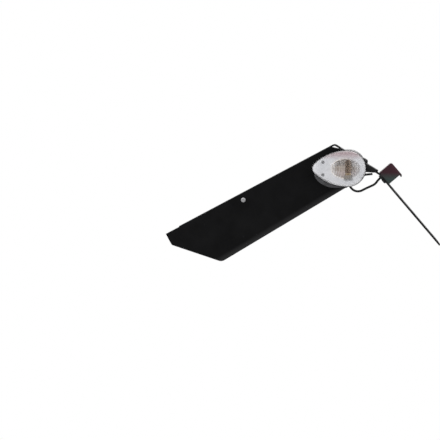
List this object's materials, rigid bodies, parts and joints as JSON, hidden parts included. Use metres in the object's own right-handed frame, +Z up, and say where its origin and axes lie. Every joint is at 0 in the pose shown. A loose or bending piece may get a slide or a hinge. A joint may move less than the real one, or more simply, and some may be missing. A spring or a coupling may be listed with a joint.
{
  "type": "motorbike tail tidy",
  "caption": "Folded bracket and trough undertray that bolt under a motorbike tail, with a hanging plate bracket, plate light and clear egg-shaped indicators.",
  "frame": {"origin": "centre of the square of bolt holes on the upper face of the bracket's top plate", "axes": "+X to the rear of the bike, +Y to its right, +Z up, at the attitude it has on the bike"},
  "size_m": [0.3818, 0.26, 0.1634],
  "materials": {
    "bracket_paint": "satin black powder coat on steel",
    "tray_plastic": "moulded black plastic, fine satin grain",
    "fastener_steel": "bright zinc plated steel",
    "black_fastener": "black oxide steel",
    "light_housing": "moulded black plastic",
    "light_lens": "clear moulded plastic",
    "light_board": "coated circuit board",
    "light_led": "phosphor LED",
    "cable_sheath": "black cable sheath",
    "rubber": "black moulded rubber",
    "body_plastic": "black moulded plastic",
    "indicator_lens": "clear moulded plastic",
    "reflector": "vacuum metallised plastic",
    "bulb_glass": "amber glass",
    "bulb_base": "plated bulb base",
    "holder_plastic": "dark moulded plastic"
  },
  "bodies": {
    "root": {"main_bracket": "bracket_paint", "undertray": "tray_plastic", "tray_rivnuts": "fastener_steel", "tray_screws": "fastener_steel", "plate_bracket": "bracket_paint", "neck_washers": "black_fastener", "neck_bolts": "black_fastener", "neck_nuts": "fastener_steel", "plate_light_housing": "light_housing", "plate_light_lens": "light_lens", "plate_light_board": "light_board", "plate_light_leds": "light_led", "plate_light_screws": "fastener_steel", "light_cable": "cable_sheath", "cable_grommet": "rubber", "left_indicator_body": "body_plastic", "left_indicator_gasket": "rubber", "left_indicator_lens": "indicator_lens", "left_indicator_reflector": "reflector", "left_reflector_screws": "fastener_steel", "left_bulb_glass": "bulb_glass", "left_bulb_base": "bulb_base", "left_bulb_holder": "holder_plastic", "left_indicator_stalk": "rubber", "left_indicator_stud": "fastener_steel", "left_indicator_spacer": "fastener_steel", "left_indicator_washer": "fastener_steel", "left_indicator_nut": "fastener_steel", "right_indicator_body": "body_plastic", "right_indicator_gasket": "rubber", "right_indicator_lens": "indicator_lens", "right_indicator_reflector": "reflector", "right_reflector_screws": "fastener_steel", "right_bulb_glass": "bulb_glass", "right_bulb_base": "bulb_base", "right_bulb_holder": "holder_plastic", "right_indicator_stalk": "rubber", "right_indicator_stud": "fastener_steel", "right_indicator_spacer": "fastener_steel", "right_indicator_washer": "fastener_steel", "right_indicator_nut": "fastener_steel"}
  },
  "joints": []
}
